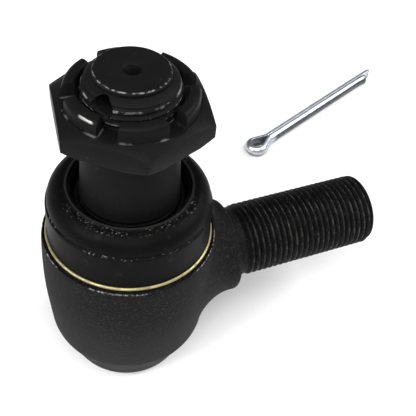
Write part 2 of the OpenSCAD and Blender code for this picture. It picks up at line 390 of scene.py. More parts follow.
@dataclass(frozen=True)
class ForgedCoat:
    """Matte charcoal coat over a sandy forged skin, worn along the top edge of the belly, and painted
    lighter towards the bottom of the belly as painted floor light.
    """

    edge_z: float
    skirt_z: float
    collar_x: float
    crest_r: float
    axis_z: float
    coat: float = 0.0085
    worn: float = 0.26
    gloss: float = 0.075
    edge_r: float = 18.8
    edge_fade: float = 0.3

    def material(self) -> bpy.types.Material:
        """Builds the finish.

        Returns:
            The material.
        """
        g = Graph("forged_coat")
        cloud = g.noise(0.09, 3.0)
        grain = g.noise(1.7, 4.0, 0.68)
        sand = g.pits(1.9)
        lines = g.stretched((0.05, 0.05, 0.9), 3.0)
        from_axis = g.radius(g.x, g.y)
        from_shank = g.radius(g.y, g.z - self.axis_z)
        shank = g.ramp(g.x, self.collar_x, self.collar_x + 0.4)
        edge = g.between(g.z, self.edge_z - 0.22, self.edge_z + 0.1, 0.1)
        edge = edge * g.ramp(from_axis, self.edge_r, self.edge_r + self.edge_fade)
        edge = edge * g.ramp(g.noise(1.3, 4.0, 0.75), 0.47, 0.58)
        edge = edge * g.ramp(g.noise(0.12, 2.0), 0.42, 0.52)
        fold = g.between(g.z, self.skirt_z - 0.25, self.skirt_z + 0.1, 0.5)
        fold = fold * g.ramp(g.noise(0.35, 3.0), 0.5, 0.68) * 0.22
        crest = shank * g.ramp(from_shank, self.crest_r - 0.16, self.crest_r - 0.02)
        crest = crest * g.ramp(g.noise(0.5, 4.0, 0.7), 0.44, 0.8)
        scuff = g.ramp(g.noise(0.5, 5.0, 0.75), 0.66, 0.78) * (1 - shank) * 0.05
        bare_share = edge + fold * 0.5 + crest * 0.3 + scuff
        # painted light: the coat is painted lighter towards the bottom of the belly, standing in for
        # light thrown up from the floor
        low = g.ramp(g.z, self.edge_z - 6.0, self.skirt_z - 4.0)
        skin = g.mix(cloud, grey(self.coat * 0.4), grey(self.coat * 0.75, 0.02))
        skin = g.mix(low * 0.8, skin, grey(self.coat * 2.4, 0.02))
        skin = g.mix(shank * 0.6, skin, grey(self.coat * 0.3))
        skin = g.mix(g.ramp(grain, 0.52, 0.66) * 0.62, skin, grey(self.coat * 3.6, 0.03))
        skin = g.mix(g.ramp(lines, 0.5, 0.62) * 0.22, skin, grey(self.coat * 0.55))
        colour = g.mix(bare_share, skin, grey(self.worn, 0.05))
        rough = 0.6 + grain * 0.16 - bare_share * 0.22 - shank * 0.12
        height = grain * 0.6 + sand * 0.35 + lines * 0.12
        relief = height * (1 - shank * 0.8)
        return g.close(
            {
                "Base Color": colour,
                "Roughness": rough,
                "Metallic": bare_share * 0.8,
                "Specular IOR Level": self.gloss,
                "Normal": g.bump(relief, 0.9, 0.27),
            }
        )


@dataclass(frozen=True)
class BlackSteel:
    """Dark phosphate on turned or milled steel, rubbed bright where edges stand proud, with painted
    highlights on some edges and painted shade in the stud's centre hole.
    """

    name: str
    tone: float = 0.0055
    crest_r: float = 0.0
    crest_low: float = 0.0
    crest_high: float = 0.0
    crest_fall: float = 0.0
    # height of a painted highlight line round the castle's foot
    highlight_line_z: float = -1.0
    face_r: float = 0.0
    face_z: float = -1.0
    dimple_r: float = 0.0
    # place and direction of a painted glint on one castle tooth's top edge
    glint_r: float = 0.0
    glint_z: float = 0.0
    glint_turn: float = 0.0
    rough: float = 0.4
    turned: float = 1.0
    gloss: float = 0.04
    # colour of rubbed bare metal, also used for the painted highlights
    bare_and_glint: Colour = grey(0.5, 0.02)

    def material(self) -> bpy.types.Material:
        """Builds the finish.

        Returns:
            The material.
        """
        g = Graph(self.name)
        cloud = g.noise(0.16, 3.0)
        grain = g.noise(3.4, 4.0, 0.6)
        marks = g.stretched((0.12, 0.12, 6.0), 2.0)
        from_axis = g.radius(g.x, g.y)
        # share of bright bare metal: real rubbed wear, plus the painted highlights added below
        bare_share = g.ramp(g.noise(0.4, 5.0, 0.72), 0.63, 0.76) * 0.04
        if self.crest_r:
            above = g.node("ShaderNodeMath", {"operation": "MAXIMUM"}, {0: g.z - self.crest_fall, 1: 0.0})
            reach = from_axis + above * LEAD_FALL
            crest = g.ramp(reach, self.crest_r - 0.1, self.crest_r - 0.02)
            crest = crest * g.between(g.z, self.crest_low, self.crest_high, 0.1)
            bare_share = bare_share + crest * g.ramp(g.noise(0.3, 4.0, 0.7), 0.48, 0.68) * 0.4
        # painted highlight: patchy bright metal along the castle's foot, standing in for a highlight on
        # that edge
        if self.highlight_line_z > 0:
            line = g.between(g.z, self.highlight_line_z - 0.04, self.highlight_line_z + 0.06, 0.08)
            bare_share = bare_share + line * g.ramp(g.noise(0.22, 3.0), 0.5, 0.66) * 0.18
        # bright metal round the rim of the stud's end face: partly rubbed wear, partly a painted
        # highlight along the chamfer's edge
        if self.face_r:
            rim = g.between(from_axis, self.face_r, self.face_r + 0.16, 0.07)
            rim = rim * g.ramp(g.z, self.face_z - 0.45, self.face_z - 0.15)
            bare_share = bare_share + rim * g.ramp(g.noise(0.9, 4.0, 0.7), 0.46, 0.6) * 0.3
        # painted highlight: a short bright glint painted along the outer top edge of one castle tooth,
        # where a lamp's reflection falls
        if self.glint_r:
            tube = g.radius(from_axis - self.glint_r, g.z - self.glint_z)
            turn = math.radians(self.glint_turn)
            facing = (g.x * math.cos(turn) + g.y * math.sin(turn)) / from_axis
            painted_glint = g.ramp(facing, math.cos(math.radians(8.5)), math.cos(math.radians(5)))
            bare_share = bare_share + painted_glint * g.ramp(tube + g.noise(1.4, 3.0) * 0.3, 0.5, 0.26) * 0.6
        skin = g.mix(cloud, grey(self.tone * 0.75), grey(self.tone * 1.35, 0.015))
        skin = g.mix(g.ramp(grain, 0.55, 0.75) * 0.4, skin, grey(self.tone * 2.2, 0.02))
        # painted shade: the centre hole in the end face is painted near black, where shade falls in the
        # recess
        if self.dimple_r:
            skin = g.mix(g.ramp(from_axis, self.dimple_r, self.dimple_r - 0.3) * 0.8, skin, grey(0.001))
        return g.close(
            {
                "Base Color": g.mix(bare_share, skin, self.bare_and_glint),
                "Roughness": self.rough + grain * 0.14 + marks * 0.06 - bare_share * 0.12,
                "Metallic": bare_share * 0.8,
                "Specular IOR Level": self.gloss,
                "Normal": g.bump(grain * 0.4 + marks * 0.5 * self.turned, 0.4, 0.08),
            }
        )


@dataclass(frozen=True)
class MouldedRubber:
    """Black rubber with a satin skin, fine pores and a little dust, with pale flecks along the rim and
    the step that are partly dust and partly painted sparkle highlights, and a painted highlight line on
    the rim's bead.
    """

    name: str
    place: str
    rim_z: float = 0.0
    rim_r: float = 0.0
    step_z: float = 0.0
    tone: float = 0.003
    gloss: float = 0.03
    # colour of the dust and of the painted sparkle highlights
    powder_and_sheen: Colour = grey(0.3, 0.06)

    def material(self) -> bpy.types.Material:
        """Builds the finish.

        Returns:
            The material.
        """
        g = Graph(self.name, self.place)
        cloud = g.noise(0.12, 3.0)
        pores = g.noise(4.2, 3.0, 0.6)
        flecks = g.ramp(g.noise(1.5, 4.0, 0.75), 0.56, 0.66)
        dust_and_sheen = g.ramp(g.noise(0.3, 4.0, 0.7), 0.56, 0.8) * 0.03
        # painted highlight: pale flecks along the rim and the step are partly dust and partly painted
        # sparkle highlights on the edges; the bead's lighter line is a painted highlight
        if self.rim_z:
            from_axis = g.radius(g.x, g.y)
            rim = g.between(from_axis, self.rim_r + 0.5, self.rim_r + 1.6, 0.5)
            rim = rim * g.ramp(g.z, self.rim_z - 3.0, self.rim_z - 1.4)
            step = g.between(g.z, self.step_z - 0.1, self.step_z + 0.15, 0.12)
            patch = g.ramp(g.noise(0.14, 2.0), 0.42, 0.56)
            bead_sheen = g.between(from_axis, self.rim_r - 0.3, self.rim_r + 0.05, 0.12)
            bead_sheen = bead_sheen * g.ramp(g.z, self.rim_z - 0.3, self.rim_z - 0.1)
            dust_and_sheen = dust_and_sheen + flecks * patch * (rim * 0.5 + step * 0.55) + bead_sheen * 0.04
        return g.close(
            {
                "Base Color": g.mix(
                    dust_and_sheen,
                    g.mix(cloud, grey(self.tone * 0.8), grey(self.tone * 1.3)),
                    self.powder_and_sheen,
                ),
                "Roughness": 0.3 + pores * 0.12 + cloud * 0.1 + dust_and_sheen * 0.3,
                "Specular IOR Level": self.gloss,
                "Normal": g.bump(pores * 0.6 + cloud * 0.5, 0.3, 0.1),
            }
        )


@dataclass(frozen=True)
class PlatedWire:
    """Yellow-passivated zinc on round wire, with dull and rubbed patches."""

    name: str
    bright: Colour
    dim_zinc: Colour
    rough: float = 0.34

    def material(self) -> bpy.types.Material:
        """Builds the finish.

        Returns:
            The material.
        """
        g = Graph(self.name)
        lines = g.stretched((0.6, 0.6, 6.0), 3.0)
        patch = g.ramp(g.noise(0.35, 4.0, 0.65), 0.42, 0.62)
        spots = g.ramp(g.noise(1.8, 3.0, 0.6), 0.6, 0.74)
        return g.close(
            {
                "Base Color": g.mix(patch * 0.7 + spots * 0.3, self.bright, self.dim_zinc),
                "Roughness": self.rough + patch * 0.14 + lines * 0.1,
                "Metallic": 0.95 - patch * 0.15,
                "Normal": g.bump(lines * 0.7 + spots * 0.3, 0.3, 0.05),
            }
        )


@dataclass(frozen=True)
class PinZinc:
    """Bright zinc on half-round wire: drawn lines along the legs, with painted darker flanks and
    underside that stand in for dark reflections and shade.
    """

    centre: Vector
    heading: float
    wire: float
    bright: Colour = (0.5, 0.52, 0.57, 1.0)
    # dark zinc of the dull patches, also used for the painted dark flanks and underside
    dim_zinc: Colour = (0.07, 0.074, 0.09, 1.0)

    def material(self) -> bpy.types.Material:
        """Builds the finish.

        Returns:
            The material.
        """
        g = Graph("pin_bright_zinc")
        laid = g.node(
            "ShaderNodeMapping",
            {"vector_type": "TEXTURE"},
            {
                "Vector": g.place,
                "Location": tuple(self.centre),
                "Rotation": (0.0, 0.0, self.heading),
            },
        )
        along = g.node("ShaderNodeSeparateXYZ", {}, {0: laid}, "X")
        across = Value(g, along.socket.node.outputs["Y"])
        high = Value(g, along.socket.node.outputs["Z"])
        drawn = g.node("ShaderNodeMapping", {}, {"Vector": laid, "Scale": (0.1, 3.0, 3.0)})
        lines = g.node(
            "ShaderNodeTexNoise", {}, {"Vector": drawn, "Scale": 1.0, "Detail": 3.0}, "Fac"
        )
        legs = g.ramp(along, 6.0, 9.0)
        # painted reflection and shade: the wire is painted darker towards its flanks and on its
        # underside, standing in for dark reflections at its edges and shade beneath it
        far = g.ramp((across * across) ** 0.5, self.wire * 0.55, self.wire * 0.86)
        low = g.ramp(high, self.wire * 0.15, -self.wire * 0.5)
        painted_dark_flank = far * legs + low * (1 - legs * 0.6)
        patch = g.ramp(g.noise(0.4, 4.0, 0.65), 0.45, 0.68)
        return g.close(
            {
                "Base Color": g.mix(painted_dark_flank * 0.92 + patch * 0.2, self.bright, self.dim_zinc),
                "Roughness": 0.22 + patch * 0.12 + lines * 0.12,
                "Metallic": 1.0 - patch * 0.06,
                "Normal": g.bump(lines * 0.8 + patch * 0.2, 0.35, 0.05),
            }
        )


@dataclass(frozen=True)
class MouldedPlastic:
    """Natural moulded seat plastic with flow marks and a little grease."""

    name: str = "seat_acetal"
    pale: Colour = (0.83, 0.81, 0.74, 1.0)
    deep: Colour = (0.74, 0.71, 0.62, 1.0)
    grease: Colour = (0.52, 0.42, 0.22, 1.0)

    def material(self) -> bpy.types.Material:
        """Builds the finish.

        Returns:
            The material.
        """
        g = Graph(self.name)
        cloud = g.noise(0.15, 3.0)
        film = g.ramp(g.noise(0.2, 4.0, 0.6), 0.5, 0.7)
        fine = g.noise(3.0, 3.0)
        skin = g.mix(cloud, self.deep, self.pale)
        return g.close(
            {
                "Base Color": g.mix(film * 0.45, skin, self.grease),
                "Roughness": 0.46 - film * 0.24 + fine * 0.08,
                "Normal": g.bump(fine * 0.5 + cloud * 0.4, 0.25, 0.08),
            }
        )


@dataclass(frozen=True)
class OiledSteel:
    """Bare spring steel under a film of oil."""

    name: str = "oiled_steel"

    def material(self) -> bpy.types.Material:
        """Builds the finish.

        Returns:
            The material.
        """
        g = Graph(self.name)
        film = g.ramp(g.noise(0.3, 4.0, 0.6), 0.42, 0.66)
        fine = g.stretched((2.0, 2.0, 7.0), 3.0)
        return g.close(
            {
                "Base Color": g.mix(film, grey(0.34, -0.03), grey(0.2, 0.1)),
                "Roughness": 0.34 - film * 0.12 + fine * 0.1,
                "Metallic": 1.0 - film * 0.1,
                "Normal": g.bump(fine, 0.3, 0.05),
            }
        )


@dataclass(frozen=True)
class StudioPaper:
    """Pale seamless paper under the part."""

    level: float = 0.86

    def material(self) -> bpy.types.Material:
        """Builds the finish.

        Returns:
            The material.
        """
        g = Graph("studio_paper")
        tooth = g.noise(0.9, 3.0)
        return g.close(
            {
                "Base Color": g.mix(tooth, grey(self.level * 0.99), grey(self.level)),
                "Roughness": 0.9 + tooth * 0.06,
                "Specular IOR Level": 0.1,
                "Normal": g.bump(tooth, 0.05, 0.05),
            }
        )


@dataclass(frozen=True)
class StudioGlow:
    """White backdrop, evenly lit from behind."""

    level: float = 0.97

    def material(self) -> bpy.types.Material:
        """Builds the finish.

        Returns:
            The material.
        """
        g = Graph("studio_glow")
        haze = g.noise(0.002, 2.0)
        return g.close(
            {
                "Base Color": grey(0.0),
                "Roughness": 1.0,
                "Emission Color": g.mix(haze, grey(self.level), grey(1.0)),
                "Emission Strength": 1.0,
            }
        )


# Mesh tools


def eased(points: Outline, steps: int = 4, closed: bool = False) -> list[tuple[float, float]]:
    """Rounds the corners of an outline.

    Args:
        points: Radius, height and, where a corner is rounded, how far back its curve starts.
        steps: Pieces of each curve.
        closed: Whether the last point joins the first.

    Returns:
        The outline with its curves.
    """
    made: list[tuple[float, float]] = []
    count = len(points)
    for i, point in enumerate(points):
        here = Vector(point[:2])
        inside = closed or 0 < i < count - 1
        if len(point) < 3 or not inside:
            made.append((here.x, here.y))
            continue
        before = Vector(points[(i - 1) % count][:2]) - here
        after = Vector(points[(i + 1) % count][:2]) - here
        start = here + before.normalized() * min(point[2], before.length * 0.48)
        end = here + after.normalized() * min(point[2], after.length * 0.48)
        for k in range(steps + 1):
            t = k / steps
            at = start * (1 - t) ** 2 + here * (2 * t * (1 - t)) + end * t**2
            made.append((at.x, at.y))
    return made


def filled_in(points: Outline, gap: float) -> list[tuple[float, float]]:
    """Adds points to an outline so that none are further apart than a gap.

    Args:
        points: Radii and heights.
        gap: Longest distance between two points.

    Returns:
        The denser outline.
    """
    made = [tuple(points[0][:2])]
    for first, second in zip(points, points[1:]):
        a, b = Vector(first[:2]), Vector(second[:2])
        pieces = max(1, math.ceil((b - a).length / gap))
        made += [tuple(a.lerp(b, (k + 1) / pieces)) for k in range(pieces)]
    return made


def curve(cx: float, cy: float, rx: float, ry: float, start: float, end: float, steps: int) -> list:
    """Points of an elliptic arc.

    Args:
        cx: Radius of its centre.
        cy: Height of its centre.
        rx: Half width.
        ry: Half height.
        start: First angle, in degrees.
        end: Last angle, in degrees.
        steps: Pieces.

    Returns:
        Radii and heights.
    """
    angles = [math.radians(start + (end - start) * k / steps) for k in range(steps + 1)]
    return [(cx + rx * math.cos(a), cy + ry * math.sin(a)) for a in angles]


def drawn(points: Outline, closed: bool = False) -> bmesh.types.BMesh:
    """Draws an outline in the XZ plane.

    Args:
        points: Radii and heights.
        closed: Whether the last point joins the first.

    Returns:
        A mesh of the points and the edges between them.
    """
    bm = bmesh.new()
    corners = [bm.verts.new((r, 0.0, z)) for r, z in points]
    for a, b in zip(corners, corners[1:]):
        bm.edges.new((a, b))
    if closed:
        bm.edges.new((corners[-1], corners[0]))
    return bm


def everything(bm: bmesh.types.BMesh) -> list:
    """Every point, edge and face of a mesh."""
    return bm.verts[:] + bm.edges[:] + bm.faces[:]


def sweep(
    bm: bmesh.types.BMesh,
    geom: list,
    angle: float,
    steps: int,
    centre: Sequence[float] = ORIGIN,
    rise: float = 0.0,
    close: bool = False,
) -> list:
    """Sweeps a shape round an upright axis.

    Args:
        bm: The mesh that the shape is part of.
        geom: The shape.
        angle: How far, in radians.
        steps: Pieces of the sweep.
        centre: A point on the axis.
        rise: How far the shape climbs with each piece.
        close: Whether the end is merged with the start.

    Returns:
        The shape at the end of the sweep.
    """
    return bmesh.ops.spin(
        bm,
        geom=geom,
        cent=centre,
        axis=Z_AXIS,
        dvec=(0, 0, rise),
        angle=angle,
        steps=steps,
        use_merge=close,
        use_duplicate=False,
    )["geom_last"]


def turn(bm: bmesh.types.BMesh, degrees: float, axis: str = "Z") -> None:
    """Turns a whole mesh about an axis through the origin."""
    matrix = Matrix.Rotation(math.radians(degrees), 3, axis)
    bmesh.ops.rotate(bm, verts=bm.verts[:], cent=ORIGIN, matrix=matrix)


def shift(bm: bmesh.types.BMesh, x: float = 0.0, y: float = 0.0, z: float = 0.0) -> None:
    """Moves a whole mesh."""
    bmesh.ops.translate(bm, verts=bm.verts[:], vec=(x, y, z))


def cut_off(
    bm: bmesh.types.BMesh, place: Sequence[float], normal: Sequence[float], ahead: bool
) -> None:
    """Cuts a mesh at a plane and drops one side.

    Args:
        bm: The mesh.
        place: A point on the plane.
        normal: The plane's normal.
        ahead: Whether the side that the normal points to is dropped, or else the other.
    """
    bmesh.ops.bisect_plane(
        bm,
        geom=everything(bm),
        dist=ON_PLANE,
        plane_co=place,
        plane_no=normal,
        clear_outer=ahead,
        clear_inner=not ahead,
    )


def round_off(
    bm: bmesh.types.BMesh, geom: list, width: float, steps: int, affect: str = "EDGES"
) -> None:
    """Rounds edges or corners.

    Args:
        bm: The mesh.
        geom: Its edges, or its points if affect is VERTICES.
        width: How far back each round starts.
        steps: Pieces of each round.
        affect: EDGES or VERTICES.
    """
    bmesh.ops.bevel(
        bm,
        geom=geom,
        offset=width,
        offset_type="OFFSET",
        affect=affect,
        segments=steps,
        profile=0.5,
        material=-1,
    )


def spun(points: Outline, steps: int = 128, closed: bool = False) -> bmesh.types.BMesh:
    """Turns an outline round the Z axis into a closed shell.

    Args:
        points: Radii and heights.
        steps: Pieces of a full turn.
        closed: Whether the last point joins the first.

    Returns:
        The shell, its normals outwards.
    """
    bm = drawn(points, closed)
    sweep(bm, everything(bm), math.tau, steps, close=True)
    settle(bm)
    return bm


def settle(bm: bmesh.types.BMesh) -> None:
    """Merges doubles, then turns every face outwards."""
    bmesh.ops.remove_doubles(bm, verts=bm.verts[:], dist=1e-4)
    bmesh.ops.recalc_face_normals(bm, faces=bm.faces[:])


def lay_along_x(bm: bmesh.types.BMesh, height: float) -> None:
    """Tips a shape from the Z axis onto +X at a height."""
    turn(bm, 90.0, "Y")
    shift(bm, z=height)


def stand_up(name: str, bm: bmesh.types.BMesh) -> bpy.types.Object:
    """Makes a scene object of a mesh that is still in millimetres.

    Args:
        name: The object's name.
        bm: The mesh, used up.

    Returns:
        The object, linked to the scene.
    """
    mesh = bpy.data.meshes.new(name)
    bm.to_mesh(mesh)
    bm.free()
    obj = bpy.data.objects.new(name, mesh)
    bpy.context.scene.collection.objects.link(obj)
    return obj


def take_result(obj: bpy.types.Object) -> None:
    """Replaces an object's mesh by what its modifiers make of it, and drops them.

    Args:
        obj: The object that is changed.
    """
    graph = bpy.context.evaluated_depsgraph_get()
    mesh = bpy.data.meshes.new_from_object(obj.evaluated_get(graph))
    obj.modifiers.clear()
    old = obj.data
    obj.data = mesh
    bpy.data.meshes.remove(old)


def combine(obj: bpy.types.Object, bm: bmesh.types.BMesh, how: Join) -> None:
    """Joins a closed shape to an object.

    Args:
        obj: The object that is changed.
        bm: The other shape, used up.
        how: Added, cut away, or only the common part kept.
    """
    tool = stand_up("tool", bm)
    step = obj.modifiers.new("combine", "BOOLEAN")
    step.operation = how.value
    step.solver = "EXACT"
    step.object = tool
    take_result(obj)
    clean(obj)
    old = tool.data
    bpy.data.objects.remove(tool)
    bpy.data.meshes.remove(old)


def clean(obj: bpy.types.Object) -> None:
    """Merges the slivers that a combination leaves.

    Args:
        obj: The object that is changed.
    """
    bm = bmesh.new()
    bm.from_mesh(obj.data)
    bmesh.ops.remove_doubles(bm, verts=bm.verts[:], dist=SLIVER)
    bmesh.ops.dissolve_degenerate(bm, edges=bm.edges[:], dist=SLIVER / 2)
    bm.to_mesh(obj.data)
    bm.free()


def soften(obj: bpy.types.Object, width: float, angle: float, steps: int = 2) -> None:
    """Rounds the sharp edges of an object.

    Args:
        obj: The object that is changed.
        width: How far back each round starts, in millimetres.
        angle: Sharpest edge left alone, in degrees.
        steps: Pieces of each round.
    """
    bm = bmesh.new()
    bm.from_mesh(obj.data)
    sharp = [
        e
        for e in bm.edges
        if e.is_manifold and e.calc_face_angle(0.0) > math.radians(angle)
    ]
    bmesh.ops.bevel(
        bm,
        geom=sharp,
        offset=width,
        offset_type="OFFSET",
        affect="EDGES",
        segments=steps,
        profile=0.5,
        material=-1,
        clamp_overlap=True,
    )
    bm.to_mesh(obj.data)
    bm.free()


@dataclass(frozen=True)
class Fitting:
    """Where a finished piece belongs: its body, material slot and the nodes it stands for."""

    body: str
    slot: str
    nodes: tuple[str, ...]
    sharp: float = 34.0

    def dress(self, obj: bpy.types.Object, finish: bpy.types.Material) -> None:
        """Shrinks a piece to metres, smooths it and gives it its finish.

        Args:
            obj: The piece, in millimetres.
            finish: Its material.
        """
        obj.data.transform(Matrix.Scale(MM, 4))
        obj.data.materials.clear()
        obj.data.materials.append(finish)
        obj.data.shade_smooth()
        obj.data.set_sharp_from_angle(angle=math.radians(self.sharp))
        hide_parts(*self.nodes)
        LOG.info("%s: %d faces, slot %s", obj.name, len(obj.data.polygons), self.slot)

    def hang(self, obj: bpy.types.Object, finish: bpy.types.Material) -> None:
        """Dresses a piece and lets it ride on its body."""
        self.dress(obj, finish)
        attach(obj, self.body)


@dataclass(frozen=True)
class Thread:
    """A cut thread along an axis, in millimetres."""

    crest: float
    pitch: float
    start: float
    stop: float
    depth: float = 0.6
    blunt: float = 0.06
    steps: int = 72

    @property
    def root(self) -> float:
        """Radius at the bottom of the thread, whose depth is a share of its pitch."""
        return self.crest - self.depth * self.pitch

    def rod(self, limit: Limit) -> bmesh.types.BMesh:
        """Cuts the thread on a closed rod round the Z axis.

        Args:
            limit: Largest radius at each height, for the run-out and the chamfer.

        Returns:
            The rod from start to stop.
        """
        shape = (
            (self.root, 0.0),
            (self.root, 0.07),
            (self.crest - self.blunt, 0.39),
            (self.crest, 0.44),
            (self.crest, 0.56),
            (self.crest - self.blunt, 0.61),
            (self.root, 0.93),
            (self.root, 1.0),
        )
        low = self.start - self.pitch * 1.01
        bm = drawn([(r, low + h * self.pitch) for r, h in shape])
        turns = math.ceil((self.stop - self.start) / self.pitch) + 2
        rise = self.pitch / self.steps
        sweep(bm, everything(bm), math.tau * turns, self.steps * turns, rise=rise)
        bmesh.ops.remove_doubles(bm, verts=bm.verts[:], dist=1e-3)
        for place, ahead in ((self.start, False), (self.stop, True)):
            cut_off(bm, (0, 0, place), Z_AXIS, ahead)
            rim = [e for e in bm.edges if e.is_boundary and abs(e.verts[0].co.z - place) < 1e-3]
            bmesh.ops.holes_fill(bm, edges=rim, sides=0)
        for vert in bm.verts:
            reach = math.hypot(vert.co.x, vert.co.y)
            most = limit(vert.co.z)
            if reach > most:
                vert.co.x *= most / reach
                vert.co.y *= most / reach
        bmesh.ops.recalc_face_normals(bm, faces=bm.faces[:])
        return bm


# Sub-assemblies


@dataclass
class Housing:
    """Forged socket: barrel, spun-in skirt, boot spigot, collar and threaded shank."""

    at: Datum
    shoulder_drop: float = 4.2
    skirt_high: float = 9.6
    bore_r: float = 16.25
    spigot_r: float = 16.56
    mouth_high_r: float = 14.36
    mouth_z: float = 35.8
    skirt_in_r: float = 12.0
    seat_r: float = 16.75
    seal_z: float = 12.7
    collar_r: float = 11.5
    collar_x: float = 25.0
    flare: float = 5.0
    flare_len: float = 6.0
    step_rs: tuple[float, float, float] = (9.95, 9.6, 8.95)
    relief_r: float = 8.65
    thread_x: float = 28.2
    shank_r: float = 9.0
    pitch: float = 1.5
    chamfer: float = 1.5
    runout_r: float = 8.15
    runout_slope: float = 1.1
    rows: float = 0.8
    columns: int = 160

    @property
    def shoulder_z(self) -> float:
        """Height of the top shoulder."""
        return self.at.spigot_top - self.shoulder_drop

    @property
    def skirt_z(self) -> float:
        """Height at which the skirt turns in from the barrel."""
        return self.at.foot_z + self.skirt_high

    def outside(self) -> list[tuple[float, float]]:
        """Outline of the belly, upwards: skirt, barrel, groove under the ring, spigot.

        Returns:
            Radii and heights.
        """
        foot, fold, r = self.at.foot_z, self.skirt_z, self.at.belly_r
        shoulder, top = self.shoulder_z, self.at.spigot_top
        return eased(
            [
                (self.skirt_in_r, foot),
                (13.75, foot, 0.5),
                (14.5, foot + 1.8, 1.0),
                (15.55, foot + 4.4, 1.5),
                (16.85, foot + 7.0, 1.5),
                (18.35, fold + 0.6, 1.3),
                (18.6, fold + 2.6, 1.2),
                (19.1, fold + 7.6, 2.5),
                (19.62, fold + 13.2, 2.5),
                (r, fold + 18.4, 3.0),
                (r, fold + 22.5, 2.0),
                (r - 0.12, shoulder - 1.3, 1.0),
                (r - 0.3, shoulder - 0.1, 0.3),
                (r - 0.5, shoulder, 0.1),
                (r - 0.6, shoulder - 0.6, 0.1),
                (r - 1.7, shoulder - 0.6, 0.1),
                (r - 1.8, shoulder, 0.1),
                (self.spigot_r, shoulder, 0.2),
                (self.spigot_r, top, 0.4),
                (self.mouth_high_r, top, 0.3),
            ],
            5,
        )

    def inside(self) -> list[tuple[float, float]]:
        """Outline of the space inside, downwards from the mouth.

        Returns:
            Radii and heights.
        """
        low = math.degrees(math.asin((self.mouth_z - self.at.ball_z) / self.bore_r))
        return [
            *curve(0.0, self.at.ball_z, self.bore_r, self.bore_r, low, 0.0, 14),
            (self.bore_r, self.seal_z),
            (self.seat_r, self.seal_z),
            (self.seat_r, self.at.cover_rim),
            (self.skirt_in_r, self.at.foot_z),
        ]

    def belly_reach(self, outline: Outline, height: float) -> float:
        """Radius of the belly at a height.

        Args:
            outline: Outline of the belly.
            height: Where to measure.

        Returns:
            The largest radius there.
        """
        found = 0.0
        for (r0, z0), (r1, z1) in zip(outline, outline[1:]):
            if z0 != z1 and min(z0, z1) <= height <= max(z0, z1):
                found = max(found, r0 + (r1 - r0) * (height - z0) / (z1 - z0))
        return found

    def collar(self, outline: Outline) -> bmesh.types.BMesh:
        """Collar with its flare fitted to the belly, and the plain relief behind the thread.

        Args:
            outline: Outline of the belly.

        Returns:
            The closed shape along +X.
        """
        land = self.collar_x - 0.9
        wide = self.collar_r + self.flare
        rings: list[tuple[float, float]] = [(0.0, -0.7)]
        rings += [(wide * share - 0.1, -0.7) for share in (0.25, 0.5, 0.75, 0.9, 1.0)]
        rings.append((wide - 0.06, -0.03))
        for angle in (9, 16, 24, 33, 42, 51, 60, 70, 80, 90):
            a = math.radians(angle)
            rings.append((self.collar_r + self.flare * (1 - math.sin(a)), 1 - math.cos(a)))
        rings += [(r, h + 1) for r, h in curve(self.collar_r - 0.9, 0.05, 0.9, 0.9, 0, 90, 6)]
        end = self.collar_x - land + 1
        rings += zip((*self.step_rs, self.relief_r), (end, end - 0.4, end - 0.5, end - 0.2))
        last = self.thread_x - land + 1
        rings += [(self.relief_r, last - 0.5), (8.0, last + 0.1), (0.0, last + 0.1)]
        bm = spun(rings, 144)
        lay_along_x(bm, self.at.ball_z)
        top = self.shoulder_z - 0.35
        for vert in bm.verts:
            place, y, z = vert.co
            if place > 1.0001:
                vert.co.x = land + place - 1
                continue
            out = Vector((y, z - self.at.ball_z))
            foot = math.sqrt(max(self.belly_reach(outline, min(z, top)) ** 2 - y * y, 1.0))
            if place < 0:
                vert.co.x = foot + place
                continue
            edge = out.normalized() * self.collar_r if out.length > 1e-6 else out
            near = self.belly_reach(outline, self.at.ball_z + edge.y)
            room = land - math.sqrt(max(near**2 - edge.x**2, 1.0))
            vert.co.x = foot + place * min(self.flare_len, room)
        cut_off(bm, (0, 0, top), Z_AXIS, ahead=True)
        rim = [e for e in bm.edges if e.is_boundary]
        bmesh.ops.holes_fill(bm, edges=rim, sides=0)
        bmesh.ops.recalc_face_normals(bm, faces=bm.faces[:])
        return bm

    def shank_limit(self, place: float) -> float:
        """Largest radius of the shank's thread at a place along it.

        Args:
            place: Distance from the stud's axis.

        Returns:
            The radius, narrowing at the run-out and at the free end's rounded chamfer.
        """
        start = self.runout_r + max(0.0, place - self.thread_x) * self.runout_slope
        left = self.at.shank_reach - place
        if left >= self.chamfer:
            return min(start, 12.0)
        t = 1 - left / self.chamfer
        return self.shank_r - 0.35 * t - 1.15 * t**2.6

    def build(self) -> bpy.types.Object:
        """Builds the forging.

        Returns:
            The finished mesh as an object, in millimetres.
        """
        outline = self.outside()
        shell = filled_in(outline + self.inside(), self.rows)
        obj = stand_up("forged_housing", spun(shell, self.columns, closed=True))
        combine(obj, self.collar(outline), Join.ADD)
        thread = Thread(self.shank_r, self.pitch, self.thread_x - 0.8, self.at.shank_reach)
        rod = thread.rod(self.shank_limit)
        lay_along_x(rod, self.at.ball_z)
        combine(obj, rod, Join.ADD)
        return obj

    def assemble(self) -> None:
        """Builds and dresses the housing."""
        finish = ForgedCoat(
            edge_z=self.shoulder_z,
            skirt_z=self.skirt_z,
            collar_x=self.collar_x,
            crest_r=self.shank_r,
            axis_z=self.at.ball_z,
        )
        fitting = Fitting("socket", "forged_black", ("housing",), 40.0)
        fitting.hang(self.build(), finish.material())


